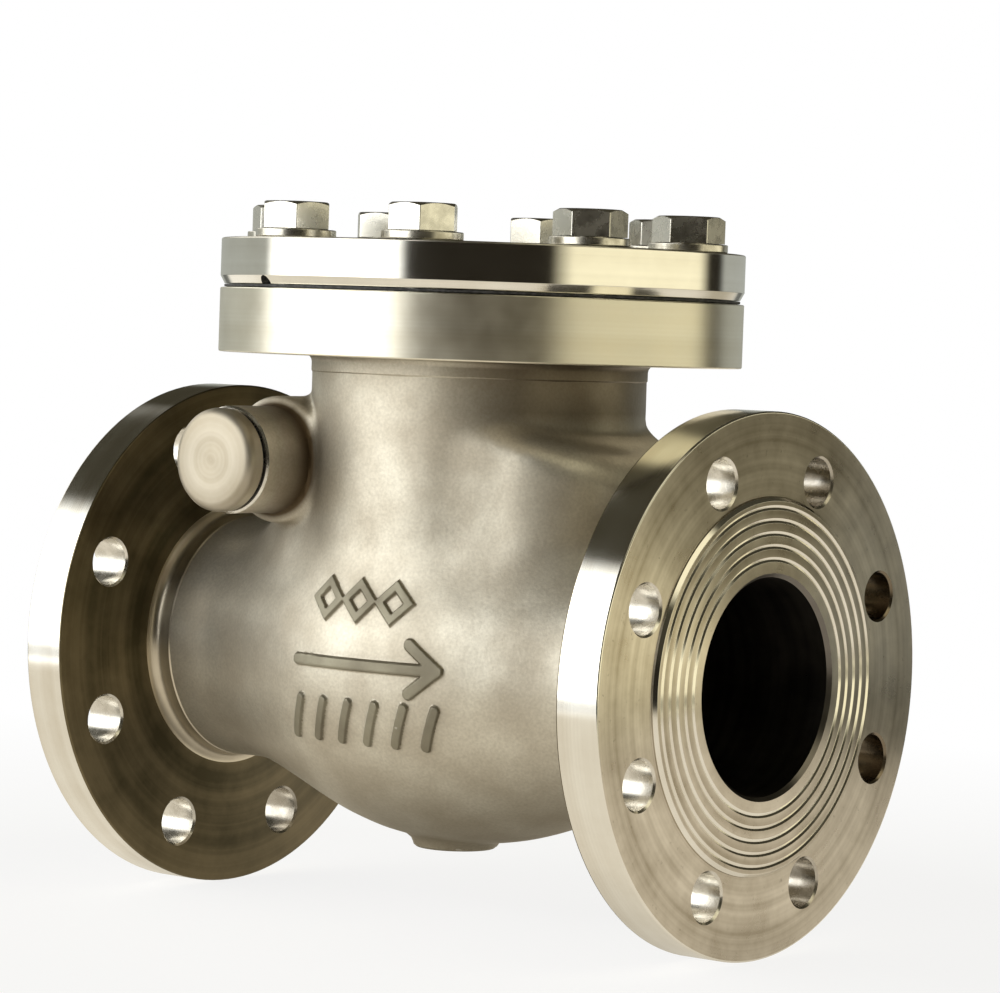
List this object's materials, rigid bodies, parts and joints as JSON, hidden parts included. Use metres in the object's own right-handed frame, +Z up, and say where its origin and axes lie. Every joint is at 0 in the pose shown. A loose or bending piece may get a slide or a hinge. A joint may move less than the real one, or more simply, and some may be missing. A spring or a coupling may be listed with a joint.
{
  "type": "swing check valve",
  "caption": "Flanged swing check valve with a bulbous cast body, a round bolted top cover, side hinge pin bosses, and a hinged disc that closes on a seat ring.",
  "frame": {"origin": "on the floor that the end flanges stand on, straight below the point where the flow axis crosses the neck axis", "axes": "+X along the flow, from inlet to outlet; +Z up the neck to the cover; +Y completes the frame, with the near side at -Y"},
  "size_m": [0.28, 0.2, 0.2708],
  "materials": {
    "cast_body": "bead-blasted cast stainless steel, warm grey, satin",
    "machined_steel": "turned bright stainless steel",
    "cast_trim": "as-cast stainless steel",
    "fastener_steel": "rolled stainless fastener finish",
    "bush": "plain bearing bronze",
    "gasket": null
  },
  "bodies": {
    "valve_body": {"body": "cast_body", "cover": "machined_steel", "cover_gasket": "gasket", "seat_ring": "machined_steel", "hinge_pin": "machined_steel", "pin_bush_near": "bush", "pin_bush_far": "bush", "pin_plug_near": "machined_steel", "pin_plug_far": "machined_steel", "plug_gasket_near": "gasket", "plug_gasket_far": "gasket", "cover_bolt_1": "fastener_steel", "cover_bolt_2": "fastener_steel", "cover_bolt_3": "fastener_steel", "cover_bolt_4": "fastener_steel", "cover_bolt_5": "fastener_steel", "cover_bolt_6": "fastener_steel", "cover_bolt_7": "fastener_steel", "cover_bolt_8": "fastener_steel", "bolt_washer_1": "fastener_steel", "bolt_washer_2": "fastener_steel", "bolt_washer_3": "fastener_steel", "bolt_washer_4": "fastener_steel", "bolt_washer_5": "fastener_steel", "bolt_washer_6": "fastener_steel", "bolt_washer_7": "fastener_steel", "bolt_washer_8": "fastener_steel"},
    "swing_arm": {"hinge_arm": "cast_trim"},
    "flap": {"disc": "machined_steel", "disc_washer": "fastener_steel", "disc_nut": "fastener_steel", "split_pin": "fastener_steel"}
  },
  "joints": [
    {"name": "arm_swing", "type": "hinge", "parent": "valve_body", "child": "swing_arm", "pos_m": [-0.0555, 0, 0.1735], "axis": [0, -1, 0], "range_deg": [0, 75]},
    {"name": "disc_spin", "type": "hinge", "parent": "swing_arm", "child": "flap", "pos_m": [-0.0497, 0, 0.1], "axis": [1, 0, 0], "continuous": true}
  ]
}
